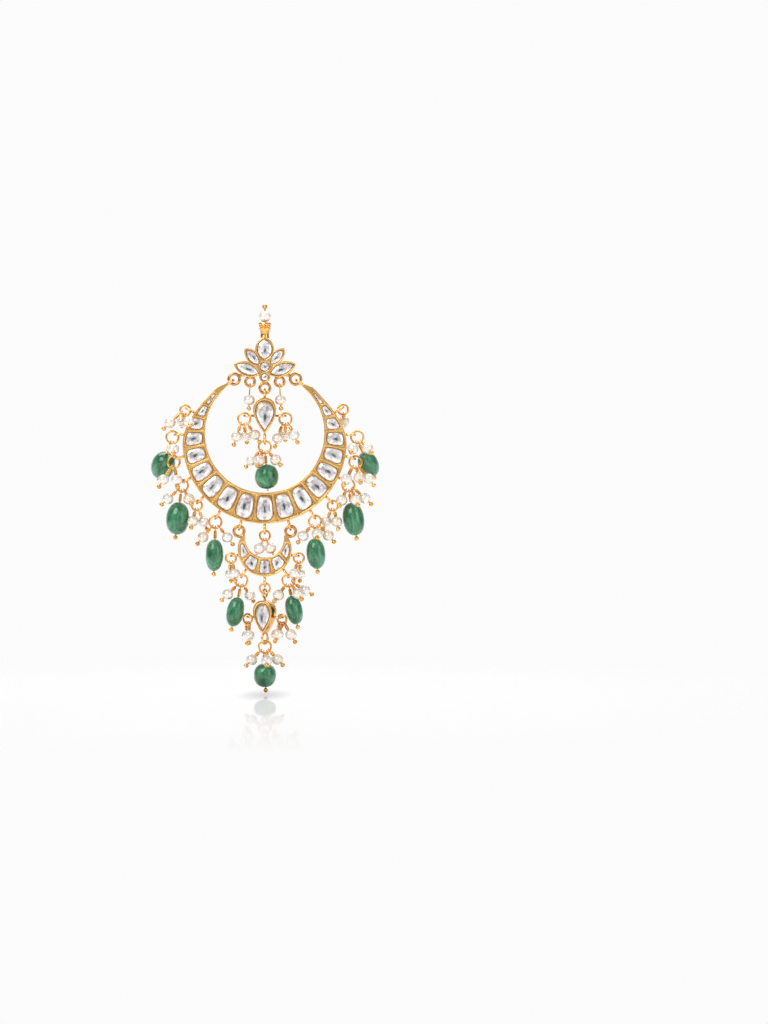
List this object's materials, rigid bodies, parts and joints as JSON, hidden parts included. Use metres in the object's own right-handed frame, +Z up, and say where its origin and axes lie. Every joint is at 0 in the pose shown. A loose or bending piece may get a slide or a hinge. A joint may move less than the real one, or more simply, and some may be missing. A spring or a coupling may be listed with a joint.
{
  "type": "chandbali earring",
  "caption": "Chandbali earring on an ear post: lotus stud, jewelled crescent, pear pendant, small crescent and pear drop with pearl and green bead clusters.",
  "frame": {"origin": "back face of the lotus stud, on the ear post's axis, where it lies against the ear lobe", "axes": "+X to the right seen from the front, +Y out of the back along the ear post, +Z up"},
  "size_m": [0.0548, 0.0179, 0.0923],
  "materials": {
    "gold_frame": "antique yellow gold, polished rims",
    "gold_wire": "polished yellow gold wire",
    "cut_stone": "foil-backed faceted white stone",
    "pearl": "cream nacre",
    "green_bead": "polished mottled green stone"
  },
  "bodies": {
    "stud": {"stud_frame": "gold_frame", "lotus_stone_top": "cut_stone", "lotus_stone_side_left": "cut_stone", "lotus_stone_side_right": "cut_stone", "lotus_stone_wide_left": "cut_stone", "lotus_stone_wide_right": "cut_stone", "lotus_stone_centre": "cut_stone", "lotus_stone_low": "cut_stone", "stud_headpins": "gold_wire", "stud_pearls": "pearl"},
    "crescent": {"crescent_frame": "gold_frame", "crescent_stone_1": "cut_stone", "crescent_stone_2": "cut_stone", "crescent_stone_3": "cut_stone", "crescent_stone_4": "cut_stone", "crescent_stone_5": "cut_stone", "crescent_stone_6": "cut_stone", "crescent_stone_7": "cut_stone", "crescent_stone_8": "cut_stone", "crescent_stone_9": "cut_stone", "crescent_stone_10": "cut_stone", "crescent_stone_11": "cut_stone", "crescent_stone_12": "cut_stone", "crescent_stone_13": "cut_stone", "crescent_stone_14": "cut_stone", "crescent_stone_15": "cut_stone", "crescent_stone_16": "cut_stone", "crescent_stone_17": "cut_stone", "crescent_stone_18": "cut_stone", "crescent_stone_19": "cut_stone", "crescent_jump_rings": "gold_wire", "crescent_headpins": "gold_wire", "crescent_pearls": "pearl", "crescent_bead_1": "green_bead", "crescent_bead_2": "green_bead", "crescent_bead_3": "green_bead", "crescent_bead_4": "green_bead", "crescent_bead_5": "green_bead", "crescent_bead_6": "green_bead"},
    "pendant": {"pendant_frame": "gold_frame", "pendant_stone": "cut_stone", "pendant_findings": "gold_wire", "pendant_pearls": "pearl", "pendant_bead": "green_bead"},
    "small_crescent": {"small_crescent_frame": "gold_frame", "small_crescent_stone_1": "cut_stone", "small_crescent_stone_2": "cut_stone", "small_crescent_stone_3": "cut_stone", "small_crescent_stone_4": "cut_stone", "small_crescent_stone_5": "cut_stone", "small_crescent_findings": "gold_wire", "small_crescent_pearls": "pearl", "small_crescent_bead_left": "green_bead", "small_crescent_bead_right": "green_bead"},
    "drop": {"drop_frame": "gold_frame", "drop_stone": "cut_stone", "drop_findings": "gold_wire", "drop_pearls": "pearl", "drop_bead": "green_bead"}
  },
  "joints": [
    {"name": "crescent_swing", "type": "hinge", "parent": "stud", "child": "crescent", "pos_m": [0, -0.0013, -0.00374], "axis": [1, 0, 0], "range_deg": [-25, 25]},
    {"name": "pendant_swing", "type": "hinge", "parent": "stud", "child": "pendant", "pos_m": [0, -0.0013, -0.00629], "axis": [1, 0, 0], "range_deg": [-25, 25]},
    {"name": "small_crescent_swing", "type": "hinge", "parent": "crescent", "child": "small_crescent", "pos_m": [0, -0.0013, -0.03789], "axis": [1, 0, 0], "range_deg": [-20, 20]},
    {"name": "drop_swing", "type": "hinge", "parent": "small_crescent", "child": "drop", "pos_m": [0, -0.0013, -0.05144], "axis": [1, 0, 0], "range_deg": [-12, 12]}
  ]
}
